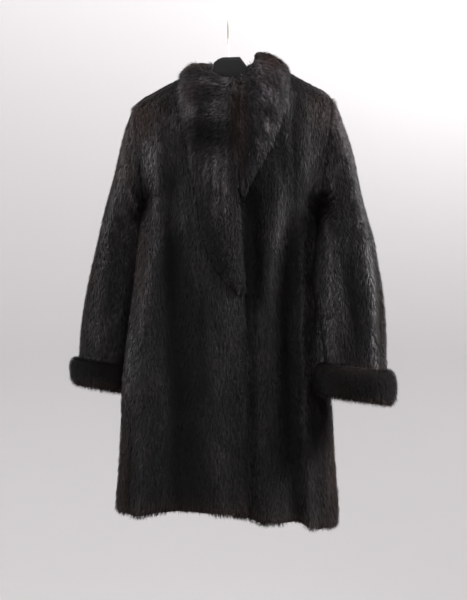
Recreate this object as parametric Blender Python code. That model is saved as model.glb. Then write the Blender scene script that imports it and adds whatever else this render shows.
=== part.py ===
"""A three-quarter fur coat with a shawl collar and turned-back cuffs, on a moulded hanger.

Metres, +Z up. The wearer's right is -X, the front faces -Y, and the origin is the inner
top of the hanger's hook, where a rail would carry it.
"""

import math
from collections import namedtuple

import bmesh
import bpy
from mathutils import Vector

# ---------------------------------------------------------------- driving sizes
WALL = 0.010  # skin and lining with the fur that lies on it
SEAM = 0.0003  # gap between pieces that are sewn together
LYING = 0.0015  # gap under a piece that lies on another
COVERED = 0.003  # gap between the two fronts where they lap
UNDERLAP = 0.048  # how far the left front runs under the right one

ARMPIT = -0.410  # height of the armpits
HEM = -1.110  # level that the body's sections are counted from
ARMHOLE_HALF = 0.058  # half the armhole, front to back
CHEST_HALF = 0.078  # half the body, front to back, at the armpits
FRONT, BACK = -1, 1

NECK_MIDDLE = 0.014
NECK_HALF = 0.084
NECK_DROP = {FRONT: 0.46, BACK: 0.14}  # share of the height from armpit to shoulder

# Exponents of the rounded sections: across the body, and over the shoulders.
ACROSS = 2.2
OVER = 2.5

COLUMNS_FRONT, COLUMNS_BACK = 19, 26
ROWS_BELOW = 10
AROUND_SLEEVE, RINGS_SLEEVE = 24, 16
ROWS_ABOVE = AROUND_SLEEVE // 2  # so that a panel meets its sleeve point for point
SHOULDER_SMOOTH = 0.10  # folds fade out over this length below the shoulder line
TUCK_START, TUCK_END = 0.010, 0.040  # where the left front dips under the right one

# ---------------------------------------------------------------- tables
# The body at each height: its right and left side, half its depth, and how far its
# left side is turned back for each metre from the middle.
Section = namedtuple("Section", "height right left half_depth twist")
BODY = (
    Section(HEM, -0.244, 0.245, 0.092, 0.14),
    Section(-1.050, -0.238, 0.243, 0.090, 0.14),
    Section(-0.960, -0.232, 0.234, 0.087, 0.14),
    Section(-0.850, -0.229, 0.228, 0.085, 0.13),
    Section(-0.634, -0.207, 0.212, 0.081, 0.07),
    Section(-0.500, -0.193, 0.205, 0.079, 0.025),
    Section(ARMPIT, -0.186, 0.200, CHEST_HALF, 0.0),
)

Plan = namedtuple("Plan", "middle half half_depth twist end")

# The shoulder line, from the right shoulder's tip over the neck to the left one.
Shoulder = namedtuple("Shoulder", "x height")
SHOULDERS = (
    Shoulder(-0.205, -0.207),
    Shoulder(-0.185, -0.190),
    Shoulder(-0.158, -0.176),
    Shoulder(-0.132, -0.161),
    Shoulder(-0.099, -0.145),
    Shoulder(-0.070, -0.135),
    Shoulder(0.014, -0.126),
    Shoulder(0.098, -0.122),
    Shoulder(0.132, -0.134),
    Shoulder(0.158, -0.148),
    Shoulder(0.185, -0.163),
    Shoulder(0.211, -0.175),
    Shoulder(0.228, -0.192),
)

# The edge of the right front, where the coat opens.
Opening = namedtuple("Opening", "height x")
OPENING = (
    Opening(-1.120, 0.051),
    Opening(-0.940, 0.051),
    Opening(-0.722, 0.043),
    Opening(-0.590, 0.040),
    Opening(-0.502, 0.032),
    Opening(-0.414, 0.024),
    Opening(-0.150, 0.0215),
)

# How low the hem hangs along each face.
Hem = namedtuple("Hem", "x height")
HEMS = {
    "front_right": (
        Hem(-0.244, -1.093), Hem(-0.205, -1.103), Hem(-0.165, -1.096), Hem(-0.100, -1.095),
        Hem(-0.060, -1.098), Hem(0.000, -1.098), Hem(0.055, -1.102),
    ),
    "front_left": (
        Hem(0.000, -1.104), Hem(0.045, -1.110), Hem(0.080, -1.120), Hem(0.120, -1.121),
        Hem(0.165, -1.127), Hem(0.205, -1.141), Hem(0.245, -1.136),
    ),
    "back": (
        Hem(-0.244, -1.093), Hem(-0.170, -1.088), Hem(-0.080, -1.096), Hem(0.000, -1.094),
        Hem(0.090, -1.106), Hem(0.170, -1.104), Hem(0.245, -1.136),
    ),
}  # fmt: skip

# Folds run up and down: where each starts at the top and ends at the bottom, half its
# width, and how far it stands out (or in, below zero).
Fold = namedtuple("Fold", "top top_x foot foot_x half_width out")
FOLDS = {
    FRONT: (
        Fold(-0.230, -0.152, -0.820, -0.192, 0.018, 0.010),
        Fold(-0.420, -0.118, -1.150, -0.105, 0.026, -0.013),
        Fold(-0.740, -0.204, -1.150, -0.206, 0.010, -0.008),
        Fold(-0.620, -0.050, -1.150, -0.040, 0.034, 0.007),
        Fold(-0.640, 0.008, -1.150, 0.010, 0.020, -0.004),
        Fold(-0.360, 0.052, -0.640, 0.048, 0.018, -0.013),
        Fold(-0.340, 0.122, -0.600, 0.082, 0.020, 0.008),
        Fold(-0.600, 0.088, -1.150, 0.092, 0.026, 0.010),
        Fold(-0.380, 0.142, -1.150, 0.146, 0.016, -0.012),
        Fold(-0.760, 0.178, -1.150, 0.176, 0.018, 0.010),
        Fold(-0.800, 0.205, -1.150, 0.207, 0.010, -0.007),
        Fold(-0.180, 0.150, -0.420, 0.150, 0.014, 0.006),
    ),
    BACK: (
        Fold(-0.300, -0.140, -1.150, -0.178, 0.024, 0.011),
        Fold(-0.380, -0.092, -1.150, -0.120, 0.022, -0.012),
        Fold(-0.300, -0.040, -1.150, -0.058, 0.026, 0.010),
        Fold(-0.260, 0.012, -1.150, 0.006, 0.020, -0.012),
        Fold(-0.300, 0.060, -1.150, 0.068, 0.028, 0.011),
        Fold(-0.400, 0.112, -1.150, 0.130, 0.020, -0.013),
        Fold(-0.320, 0.152, -1.150, 0.182, 0.022, 0.009),
    ),
}
FOLD_FADE = 0.110  # length over which a fold rises from the flat cloth

# Each sleeve from the armhole down: the outer and inner edge of a ring, how far back its
# middle lies, and half its depth. The right sleeve hangs behind the body, the left before.
Ring = namedtuple("Ring", "outer_x outer_z inner_x inner_z back half_depth")
SLEEVES = {
    "right": (
        Ring(-0.205, -0.207, -0.186, ARMPIT, 0.000, ARMHOLE_HALF),
        Ring(-0.223, -0.250, -0.188, -0.413, 0.001, 0.060),
        Ring(-0.237, -0.305, -0.190, -0.418, 0.005, 0.060),
        Ring(-0.251, -0.362, -0.191, -0.428, 0.014, 0.057),
        Ring(-0.270, -0.425, -0.190, -0.455, 0.031, 0.052),
        Ring(-0.291, -0.500, -0.189, -0.515, 0.052, 0.047),
        Ring(-0.312, -0.580, -0.191, -0.592, 0.064, 0.045),
        Ring(-0.325, -0.650, -0.195, -0.662, 0.068, 0.045),
        Ring(-0.333, -0.720, -0.202, -0.732, 0.070, 0.045),
        Ring(-0.334, -0.764, -0.208, -0.780, 0.071, 0.046),
        Ring(-0.333, -0.821, -0.210, -0.842, 0.072, 0.047),
    ),
    "left": (
        Ring(0.228, -0.192, 0.200, ARMPIT, 0.000, ARMHOLE_HALF),
        Ring(0.251, -0.238, 0.202, -0.413, -0.002, 0.060),
        Ring(0.269, -0.300, 0.204, -0.418, -0.006, 0.060),
        Ring(0.283, -0.365, 0.205, -0.428, -0.015, 0.057),
        Ring(0.294, -0.425, 0.202, -0.455, -0.032, 0.052),
        Ring(0.313, -0.495, 0.190, -0.515, -0.055, 0.047),
        Ring(0.327, -0.575, 0.184, -0.592, -0.064, 0.045),
        Ring(0.336, -0.645, 0.190, -0.656, -0.066, 0.045),
        Ring(0.340, -0.715, 0.202, -0.712, -0.066, 0.045),
        Ring(0.341, -0.785, 0.210, -0.770, -0.066, 0.046),
        Ring(0.342, -0.856, 0.213, -0.838, -0.066, 0.047),
    ),
}

# Folds along a sleeve: the angle from its outer edge towards the front, the share of its
# length where it starts and ends, half its width in degrees, and how far it stands out.
SleeveFold = namedtuple("SleeveFold", "angle start end half_angle out")
SLEEVE_FOLDS = {
    "right": (
        SleeveFold(62, 0.10, 0.55, 16, 0.005),
        SleeveFold(100, 0.30, 0.85, 16, -0.007),
        SleeveFold(140, 0.36, 0.62, 12, 0.007),
        SleeveFold(300, 0.20, 0.85, 20, -0.008),
        SleeveFold(250, 0.30, 0.90, 20, 0.006),
    ),
    "left": (
        SleeveFold(52, 0.02, 0.88, 11, 0.008),
        SleeveFold(32, 0.40, 0.90, 9, -0.009),
        SleeveFold(10, 0.45, 0.90, 10, 0.005),
        SleeveFold(84, 0.55, 0.88, 14, -0.007),
        SleeveFold(118, 0.25, 0.90, 16, 0.006),
        SleeveFold(285, 0.25, 0.90, 20, -0.008),
        SleeveFold(235, 0.15, 0.80, 20, 0.006),
    ),
}

CUFF_START = 0.895  # share of the sleeve's length where the cuff begins
CUFF_THICK = 0.022
CUFF_EDGE = 0.004  # thickness left at the cuff's upper and lower edge
CUFF_STEPS = 8
SLEEVE_END = 0.985

# The collar's rows, from centre back to the foot of the lapel. Each starts on the neckline or
# at a height of the front edge (start_z), and runs out to the collar's outer edge. rise is
# how far the roll stands above the start, lean how far it leans sideways there, roll how far
# it stands out, bulge how far the middle stands off the cloth, and edge how thick the outer
# edge is. Where wrap is 1 the collar covers the cloth's edge.
CollarRow = namedtuple("CollarRow", "face start_x start_z wrap edge_x edge_z rise lean roll bulge edge")
CollarPlace = namedtuple(
    "CollarPlace", "start_x start_high wrap edge_x edge_high rise lean roll bulge edge on_neck"
)
ON_NECKLINE = None
ON_SHOULDER = 0  # neither front nor back
COLLARS = {
    "right": (
        CollarRow(BACK, 0.0125, ON_NECKLINE, 1, 0.0125, -0.222, 0.047, 0.000, 0.014, 0.010, 0.013),
        CollarRow(BACK, -0.022, ON_NECKLINE, 1, -0.046, -0.220, 0.040, 0.000, 0.014, 0.010, 0.013),
        CollarRow(BACK, -0.048, ON_NECKLINE, 1, -0.084, -0.200, 0.023, 0.002, 0.013, 0.009, 0.013),
        CollarRow(BACK, -0.061, ON_NECKLINE, 0, -0.099, -0.154, 0.015, 0.003, 0.012, 0.007, 0.011),
        CollarRow(ON_SHOULDER, -0.0695, ON_NECKLINE, 0, -0.101, -0.100, 0.007, 0.003, 0.011, 0.004, 0.010),
        CollarRow(FRONT, -0.0640, ON_NECKLINE, 0, -0.103, -0.156, 0.004, 0.002, 0.013, 0.009, 0.011),
        CollarRow(FRONT, -0.048, ON_NECKLINE, 0, -0.104, -0.203, 0.010, 0.001, 0.016, 0.018, 0.013),
        CollarRow(FRONT, -0.024, ON_NECKLINE, 0, -0.100, -0.232, 0.060, 0.000, 0.020, 0.024, 0.014),
        CollarRow(FRONT, 0.004, ON_NECKLINE, 0, -0.096, -0.258, 0.102, 0.000, 0.020, 0.026, 0.014),
        CollarRow(FRONT, 0.0198, ON_NECKLINE, 0, -0.092, -0.282, 0.100, 0.000, 0.020, 0.024, 0.014),
        CollarRow(FRONT, 0.0206, -0.285, 0, -0.086, -0.312, 0.006, 0.000, 0.014, 0.004, 0.014),
        CollarRow(FRONT, 0.0206, -0.330, 0, -0.079, -0.350, 0.002, 0.000, 0.014, 0.003, 0.014),
        CollarRow(FRONT, 0.0210, -0.390, 0, -0.069, -0.396, 0.000, 0.000, 0.015, 0.011, 0.014),
        CollarRow(FRONT, 0.0230, -0.450, 0, -0.060, -0.450, 0.000, 0.000, 0.015, 0.010, 0.013),
        CollarRow(FRONT, 0.0290, -0.520, 0, -0.046, -0.512, 0.000, 0.000, 0.014, 0.006, 0.012),
        CollarRow(FRONT, 0.0370, -0.585, 0, -0.010, -0.574, 0.000, 0.000, 0.012, 0.002, 0.011),
        CollarRow(FRONT, 0.0385, -0.606, 0, 0.022, -0.603, 0.000, 0.000, 0.009, 0.000, 0.009),
    ),
    "left": (
        CollarRow(BACK, 0.0128, ON_NECKLINE, 1, 0.0128, -0.222, 0.047, 0.000, 0.014, 0.010, 0.013),
        CollarRow(BACK, 0.052, ON_NECKLINE, 1, 0.076, -0.214, 0.034, -0.004, 0.014, 0.010, 0.013),
        CollarRow(BACK, 0.078, ON_NECKLINE, 1, 0.110, -0.190, 0.020, -0.010, 0.013, 0.009, 0.013),
        CollarRow(BACK, 0.0895, ON_NECKLINE, 0, 0.126, -0.142, 0.015, -0.015, 0.012, 0.007, 0.011),
        CollarRow(ON_SHOULDER, 0.0975, ON_NECKLINE, 0, 0.129, -0.100, 0.014, -0.019, 0.012, 0.004, 0.010),
        CollarRow(FRONT, 0.0920, ON_NECKLINE, 0, 0.130, -0.144, 0.017, -0.025, 0.014, 0.009, 0.011),
        CollarRow(FRONT, 0.080, ON_NECKLINE, 0, 0.129, -0.184, 0.027, -0.028, 0.017, 0.016, 0.013),
        CollarRow(FRONT, 0.064, ON_NECKLINE, 0, 0.126, -0.206, 0.048, -0.013, 0.020, 0.021, 0.014),
        CollarRow(FRONT, 0.042, ON_NECKLINE, 0, 0.119, -0.232, 0.080, -0.006, 0.020, 0.021, 0.014),
        CollarRow(FRONT, 0.0235, ON_NECKLINE, 0, 0.112, -0.254, 0.092, 0.000, 0.020, 0.018, 0.014),
        CollarRow(FRONT, 0.0225, -0.272, 0, 0.101, -0.281, 0.014, 0.000, 0.018, 0.012, 0.014),
        CollarRow(FRONT, 0.0225, -0.300, 0, 0.085, -0.316, 0.002, 0.000, 0.016, 0.008, 0.014),
        CollarRow(FRONT, 0.0230, -0.330, 0, 0.064, -0.350, 0.000, 0.000, 0.014, 0.005, 0.013),
        CollarRow(FRONT, 0.0245, -0.375, 0, 0.046, -0.384, 0.000, 0.000, 0.012, 0.002, 0.011),
        CollarRow(FRONT, 0.0275, -0.400, 0, 0.037, -0.402, 0.000, 0.000, 0.009, 0.000, 0.009),
    ),
}
COLLAR_STEPS = 2  # rings from one row of the table to the next
COLLAR_ACROSS = (0.0, 0.10, 0.24, 0.42, 0.60, 0.78, 0.92, 1.0)
COLLAR_BENEATH = (1.0, 0.80, 0.60, 0.40, 0.20)
COLLAR_INSIDE = (0.45, 0.85)
COLLAR_STEEP = 0.75  # how much less the inside leans out than a straight line would
COLLAR_GAP = 0.003  # between the collar's underside and the cloth, at its edges
COLLAR_HOLLOW = 0.003  # how much more than that between the edges
NECK_GAP = 0.007  # above the neckline's edge, which the collar covers

# The hanger from end to end: its upper and lower edge, half its thickness, and how round its
# section is: 1 is an ellipse, and less is a flatter plate with sharper edges.
HangerRow = namedtuple("HangerRow", "x top bottom half roundness")
YOKE = (
    HangerRow(-0.058, -0.151, -0.180, 0.008, 0.8),
    HangerRow(-0.044, -0.140, -0.172, 0.007, 0.5),
    HangerRow(-0.038, -0.130, -0.170, 0.006, 0.4),
    HangerRow(-0.031, -0.111, -0.168, 0.006, 0.4),
    HangerRow(-0.022, -0.104, -0.166, 0.006, 0.4),
    HangerRow(-0.012, -0.100, -0.165, 0.006, 0.4),
    HangerRow(0.026, -0.099, -0.165, 0.006, 0.4),
    HangerRow(0.030, -0.104, -0.165, 0.006, 0.4),
    HangerRow(0.048, -0.129, -0.166, 0.007, 0.5),
    HangerRow(0.064, -0.141, -0.169, 0.008, 0.8),
    HangerRow(0.090, -0.146, -0.174, 0.008, 1.0),
)
ARM_REACH = {"right": (-0.086, -0.188), "left": (0.112, 0.210)}
ARM_HALF, ARM_TIP_HALF = 0.008, 0.005
ARM_HEIGHT, ARM_TIP_HEIGHT = 0.030, 0.016
ARM_CLEAR = 0.0008  # between an arm and the shoulder seam that lies on it
ARM_STEPS = 6
HANGER_SIDES = 12

HOOK_WIRE = 0.0020  # radius of the wire
HOOK_BOW = 0.0240  # radius of the bow, to the middle of the wire
HOOK_FOOT = -0.0995
HOOK_NECK = -0.066
HOOK_SWEEP = 215  # degrees of the bow
HOOK_BEND_STEPS, HOOK_BOW_STEPS = 6, 16


# ---------------------------------------------------------------- helpers
def clear_scene():
    for old in list(bpy.data.objects):
        bpy.data.objects.remove(old, do_unlink=True)


def material(name, colour, roughness, metallic=0.0):
    made = bpy.data.materials.new(name)
    made.use_nodes = True
    shader = made.node_tree.nodes["Principled BSDF"]
    shader.inputs["Base Color"].default_value = (*colour, 1.0)
    shader.inputs["Roughness"].default_value = roughness
    shader.inputs["Metallic"].default_value = metallic
    return made


def smooth_step(value):
    value = min(1.0, max(0.0, value))
    return value * value * (3 - 2 * value)


def between(start, end, share):
    return start + (end - start) * share


def along_curve(places, values, place):
    """The value at a place on a smooth curve through the given values."""
    if places[0] > places[-1]:
        places, values = places[::-1], values[::-1]
    last = len(places) - 1
    if place <= places[0]:
        return values[0]
    if place >= places[-1]:
        return values[-1]
    i = max(k for k in range(last) if places[k] <= place)
    span = places[i + 1] - places[i]
    share = (place - places[i]) / span

    def slope(k):
        low, high = max(k - 1, 0), min(k + 1, last)
        return (values[high] - values[low]) / (places[high] - places[low])

    start, end = values[i], values[i + 1]
    pull_start, pull_end = slope(i) * span, slope(i + 1) * span
    cube, square = share**3, share**2
    return (
        (2 * cube - 3 * square + 1) * start
        + (cube - 2 * square + share) * pull_start
        + (3 * square - 2 * cube) * end
        + (cube - square) * pull_end
    )


def read(table, by, column, place):
    return along_curve(
        [getattr(row, by) for row in table], [getattr(row, column) for row in table], place
    )


def blend_rows(table, place):
    """The row that a smooth curve through a table's rows has at a place from 0 to 1."""
    last = len(table) - 1
    counts = list(range(last + 1))
    numbers = [along_curve(counts, [row[k] for row in table], place * last) for k in range(len(table[0]))]
    return type(table[0])(*numbers)


def skin(name, rings, finish, round_trip=False, flat_ends=False):
    """One closed solid over rings of points. Its ends are closed unless it runs round."""
    mesh = bmesh.new()
    levels = [[mesh.verts.new(point) for point in ring] for ring in rings]
    count = len(levels[0])
    pairs = list(zip(levels, levels[1:]))
    if round_trip:
        pairs.append((levels[-1], levels[0]))
    for lower, upper in pairs:
        for k in range(count):
            after = (k + 1) % count
            mesh.faces.new((lower[k], lower[after], upper[after], upper[k]))
    ends = []
    if not round_trip:
        for end in (levels[0], levels[-1]):
            if flat_ends:
                ends.append(mesh.faces.new(end))
                continue
            for k in range(count // 2 - 1):
                outline = (end[k], end[k + 1], end[count - 2 - k], end[count - 1 - k])
                ends.append(mesh.faces.new(outline))
    bmesh.ops.recalc_face_normals(mesh, faces=mesh.faces)
    # Long diagonals keep a steep edge's faces within the wall, and short ones elsewhere split
    # the faces of two sewn edges alike, so that they never cross.
    bmesh.ops.triangulate(mesh, faces=ends, quad_method="LONG_EDGE", ngon_method="EAR_CLIP")
    bmesh.ops.triangulate(mesh, faces=mesh.faces, quad_method="SHORT_EDGE")
    data = bpy.data.meshes.new(name)
    mesh.to_mesh(data)
    mesh.free()
    data.materials.append(finish)
    data.shade_smooth()
    data.set_sharp_from_angle(angle=math.radians(50))
    made = bpy.data.objects.new(name, data)
    bpy.context.scene.collection.objects.link(made)
    return made


# ---------------------------------------------------------------- body
def shoulder_height(x):
    return read(SHOULDERS, "x", "height", x)


def shoulder_over(x, plan):
    """The shoulder line's height above x, where each row's ends lie below the line's ends."""
    right, left = (SLEEVES[side][0].outer_x for side in ("right", "left"))
    across = (x - plan.middle) / (plan.half * math.sin(plan.end))
    return shoulder_height((right + left) / 2 + (left - right) / 2 * across)


def neck_share(face, x):
    """How far up towards the shoulder line the cloth runs at x: less where the neck is cut out."""
    across = min(1.0, abs(x - NECK_MIDDLE) / NECK_HALF)
    return 1 - NECK_DROP[face] * (1 - across**2) ** 2


def relief(face, x, z):
    """How far the folds move the cloth out at a place of the front or back."""
    total = 0.0
    for fold in FOLDS[face]:
        share = min(1.0, max(0.0, (fold.top - z) / (fold.top - fold.foot)))
        middle = between(fold.top_x, fold.foot_x, share)
        fade = smooth_step((fold.top - z) / FOLD_FADE) * smooth_step((z - fold.foot) / FOLD_FADE + 1)
        total += fold.out * fade * math.exp(-(((x - middle) / fold.half_width) ** 2))
    return total


def armhole(side, turn, inset):
    """A point of an armhole: turn 0 at the shoulder's tip, 180 degrees at the armpit."""
    ring = SLEEVES[side][0]
    high = (1 + math.cos(turn)) / 2
    inward = 1 if side == "right" else -1
    mitre = inward * inset * max(0.0, -math.cos(turn)) ** 3
    return Vector((
        between(ring.inner_x, ring.outer_x, high) + mitre,
        (ARMHOLE_HALF - inset) * math.sin(turn),
        between(ARMPIT + inset, ring.outer_z - inset, high),
    ))


def depth_above(high, inset):
    """Half the body's depth at a share of the height from armpit to shoulder."""
    return (CHEST_HALF - inset) * (1 - min(1.0, max(0.0, high)) ** OVER) ** (1 / OVER)


def plan_at(row, inset):
    """The body seen from above at a row: 0 is the hem, 1 the armpits and 2 the shoulders."""
    if row <= 1:
        height = between(HEM, ARMPIT, row)
        right, left = (read(BODY, "height", side, height) for side in ("right", "left"))
        half_depth = read(BODY, "height", "half_depth", height) - inset
        twist = read(BODY, "height", "twist", height)
        return Plan((right + left) / 2, (left - right) / 2 - inset, half_depth, twist, math.pi / 2)
    turn = math.pi * (2 - row)
    right, left = armhole("right", turn, inset), armhole("left", turn, inset)
    half_depth = depth_above((1 + math.cos(turn)) / 2, inset)
    share = min(1.0, abs(right.y) / half_depth) if half_depth > 1e-6 else 0.0
    reach = (1 - share**ACROSS) ** (1 / ACROSS)
    half = (left.x - right.x - SEAM) / 2 / reach
    return Plan((right.x + left.x) / 2, half, half_depth, 0.0, math.asin(reach))


def cloth_point(face, x, z, plan, half_depth, push=0.0):
    across = min(1.0, abs(x - plan.middle) / plan.half)
    depth = half_depth * (1 - across**ACROSS) ** (1 / ACROSS)
    from_edge = 1 - min(1.0, across / math.sin(plan.end)) ** 8
    below_shoulder = smooth_step((shoulder_height(x) - z) / SHOULDER_SMOOTH)
    depth += relief(face, x, z) * from_edge * below_shoulder - push
    return Vector((x, face * (depth + SEAM / 2) + plan.twist * x, z))


def point_above(face, x, row, inset, push=0.0):
    """A point of the body above the armpits."""
    plan = plan_at(row, inset)
    high = (1 + math.cos(math.pi * (2 - row))) / 2 * neck_share(face, x)
    z = between(ARMPIT + inset, shoulder_over(x, plan) - inset, high)
    return cloth_point(face, x, z, plan, depth_above(high, inset), push)


def panel_point(name, face, angle, row, inset):
    """A point of a panel at an angle from the body's middle and a row, moved in by inset."""
    plan = plan_at(row, inset)
    x = plan.middle + plan.half * math.sin(angle)
    push = tuck(x, row) if name == "front_left" else 0.0
    if row > 1:
        return point_above(face, x, row, inset, push)
    at_hem = plan_at(0, 0.0)
    hem = read(HEMS[name], "x", "height", at_hem.middle + at_hem.half * math.sin(angle))
    return cloth_point(face, x, between(hem, ARMPIT + inset, row), plan, plan.half_depth, push)


def opening_x(row):
    return read(OPENING, "height", "x", between(HEM, ARMPIT, row))


def opening_angle(row, inset, shift):
    plan = plan_at(row, inset)
    return math.asin((opening_x(row) + shift - plan.middle) / plan.half)


def tuck(x, row):
    """How far the left front is pressed in where the right front covers it."""
    return (WALL + COVERED) * smooth_step((opening_x(row) + TUCK_END - x) / (TUCK_END - TUCK_START))


def panel_rows():
    below = [k / ROWS_BELOW for k in range(ROWS_BELOW)]
    above = [1 + k / ROWS_ABOVE for k in range(ROWS_ABOVE + 1)]
    return below + above


def panel_line(name, face, columns, row, inset):
    end = plan_at(row, inset).end
    start, stop = -end, end
    if name == "front_right":
        stop = opening_angle(row, inset, 0.0)
    if name == "front_left":
        start = opening_angle(row, inset, -UNDERLAP)
    angles = [between(start, stop, k / columns) for k in range(columns + 1)]
    return [panel_point(name, face, angle, row, inset) for angle in angles]


def panel(name, face, columns, finish):
    rings = []
    for row in panel_rows():
        outside = panel_line(name, face, columns, row, 0.0)
        inside = panel_line(name, face, columns, row, WALL)
        rings.append(outside + inside[::-1])
    skin(name, rings, finish)


# ---------------------------------------------------------------- sleeves and cuffs
def sleeve_relief(side, degrees, along):
    total = 0.0
    for fold in SLEEVE_FOLDS[side]:
        fade = smooth_step((along - fold.start) / 0.10) * smooth_step((fold.end - along) / 0.10)
        off = (degrees - fold.angle + 180) % 360 - 180
        total += fold.out * fade * math.exp(-((off / fold.half_angle) ** 2))
    return total


def sleeve_point(side, turn, along, inset):
    """A point of a sleeve: turn 0 at its outer edge, a quarter turn at its front."""
    ring = blend_rows(SLEEVES[side], along)
    outward = 1 if side == "left" else -1
    outer = Vector((ring.outer_x, 0, ring.outer_z))
    inner = Vector((ring.inner_x, 0, ring.inner_z))
    half = (outer - inner) / 2
    out = sleeve_relief(side, math.degrees(turn) % 360, along) - inset
    seam = max(0.0, 1 - along * (len(SLEEVES[side]) - 1))
    aim = half.normalized().lerp(Vector((0, 0, 1)), seam)
    point = (outer + inner) / 2 + (half + aim * out) * math.cos(turn)
    point.y = ring.back - (ring.half_depth + out) * math.sin(turn)
    mitre = inset * max(0.0, -math.cos(turn)) ** 3
    point.x += outward * seam * (SEAM / 2 - mitre)
    return point


def turns_around():
    return [2 * math.pi * k / AROUND_SLEEVE for k in range(AROUND_SLEEVE)]


def sleeve(side, finish):
    steps = [SLEEVE_END * k / RINGS_SLEEVE for k in range(RINGS_SLEEVE + 1)]
    rings = []
    for turn in turns_around():
        outside = [sleeve_point(side, turn, along, 0.0) for along in steps]
        inside = [sleeve_point(side, turn, along, WALL) for along in steps]
        rings.append(outside + inside[::-1])
    skin("sleeve_" + side, rings, finish, round_trip=True)


def cuff(side, finish):
    middle, half = (CUFF_START + 1) / 2, (1 - CUFF_START) / 2
    rings = []
    for turn in turns_around():
        ring = []
        for step in range(CUFF_STEPS + 1):
            bend = math.pi * step / CUFF_STEPS
            lift = CUFF_EDGE + CUFF_THICK * math.sin(bend) ** 0.55
            ring.append(sleeve_point(side, turn, middle - half * math.cos(bend), -lift))
        for share in (0.96, 0.66, 0.33, 0.04):
            ring.append(sleeve_point(side, turn, between(CUFF_START, 1, share), -LYING))
        rings.append(ring)
    skin("cuff_" + side, rings, finish, round_trip=True)


# ---------------------------------------------------------------- collar
def on_body(face, x, high, inset):
    """A point of the body at x and a share of the height from armpit to shoulder."""
    if high <= 0:
        z = between(ARMPIT, shoulder_height(x), high) + inset
        plan = plan_at((z - HEM) / (ARMPIT - HEM), inset)
        return cloth_point(face, x, z, plan, plan.half_depth)
    share = min(1.0, high / neck_share(face, x))
    return point_above(face, x, 2 - math.acos(2 * share - 1) / math.pi, inset)


def share_of_height(x, z):
    return min(1.0, (z - ARMPIT) / (shoulder_height(x) - ARMPIT))


def collar_rows(side):
    """The rows of a collar half as numbers, with more between them on smooth curves."""
    table = []
    for row in COLLARS[side]:
        on_neck = row.start_z is ON_NECKLINE
        if on_neck:
            start = neck_share(row.face or FRONT, row.start_x)
        else:
            start = share_of_height(row.start_x, row.start_z)
        edge = share_of_height(row.edge_x, row.edge_z)
        table.append(
            CollarPlace(row.start_x, start, row.wrap, row.edge_x, edge, *row[6:], float(on_neck))
        )
    faces = [row.face for row in COLLARS[side]]
    steps = (len(table) - 1) * COLLAR_STEPS
    for step in range(steps + 1):
        place = blend_rows(table, step / steps)
        before, after = step // COLLAR_STEPS, -(-step // COLLAR_STEPS)
        face = faces[before] or faces[after] or FRONT
        if place.on_neck > 0.99:
            place = place._replace(start_high=neck_share(face, place.start_x))
        yield face, place._replace(wrap=min(1.0, max(0.0, place.wrap)))


def collar_ring(face, place):
    """The outline of a collar half at one row: out over its roll, down, and back beneath."""
    ring = []
    for share in COLLAR_ACROSS:
        x = between(place.start_x, place.edge_x, share)
        high = between(place.start_high, place.edge_high, share)
        swell = place.bulge * math.sin(math.pi * share) ** 1.2
        lift = COLLAR_GAP + between(place.roll, place.edge, share) + swell
        point = on_body(face, x, high, -lift)
        near_roll = (1 - share) ** 1.6
        point += Vector((place.lean, 0, place.rise)) * near_roll
        ring.append(point)
    for share in COLLAR_BENEATH:
        x = between(place.start_x, place.edge_x, share)
        high = between(place.start_high, place.edge_high, share)
        hollow = COLLAR_HOLLOW * math.sin(math.pi * share)
        ring.append(on_body(face, x, high, -COLLAR_GAP - hollow))
    for inset in (-COLLAR_GAP, between(-COLLAR_GAP - SEAM, WALL, place.wrap)):
        point = on_body(face, place.start_x, place.start_high, inset)
        point.z += place.on_neck * NECK_GAP
        ring.append(point)
    # Inside the neck the roll stands steep, and down the fronts its edge is straight.
    foot, top = ring[-1], ring[0]
    for share in COLLAR_INSIDE:
        point = foot.lerp(top, share)
        point.y = between(foot.y, top.y, share * (1 - COLLAR_STEEP * place.on_neck))
        ring.append(point)
    return ring


def collar(side, finish):
    rings = [collar_ring(face, place) for face, place in collar_rows(side)]
    skin("collar_" + side, rings, finish, flat_ends=True)


# ---------------------------------------------------------------- hanger
def flattened(value, roundness):
    return math.copysign(abs(value) ** roundness, value) if abs(value) > 1e-9 else 0.0


def hanger_ring(row):
    ring = []
    for k in range(HANGER_SIDES):
        turn = 2 * math.pi * k / HANGER_SIDES
        middle, half = (row.top + row.bottom) / 2, (row.top - row.bottom) / 2
        across, up = (flattened(value, row.roundness) for value in (math.cos(turn), math.sin(turn)))
        ring.append(Vector((row.x, row.half * across, middle + half * up)))
    return ring


def arm_rows(start, end):
    """An arm of the hanger, whose upper edge follows the shoulder seam from below."""
    for k in range(ARM_STEPS + 1):
        share = k / ARM_STEPS
        x = between(start, end, share)
        top = shoulder_height(x) - WALL - ARM_CLEAR
        height = between(ARM_HEIGHT, ARM_TIP_HEIGHT, share**2)
        yield HangerRow(x, top, top - height, between(ARM_HALF, ARM_TIP_HALF, share**4), 1.0)


def hanger(finish):
    rows = list(arm_rows(*ARM_REACH["right"]))[::-1] + list(YOKE) + list(arm_rows(*ARM_REACH["left"]))
    skin("hanger", [hanger_ring(row) for row in rows], finish, flat_ends=True)


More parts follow.
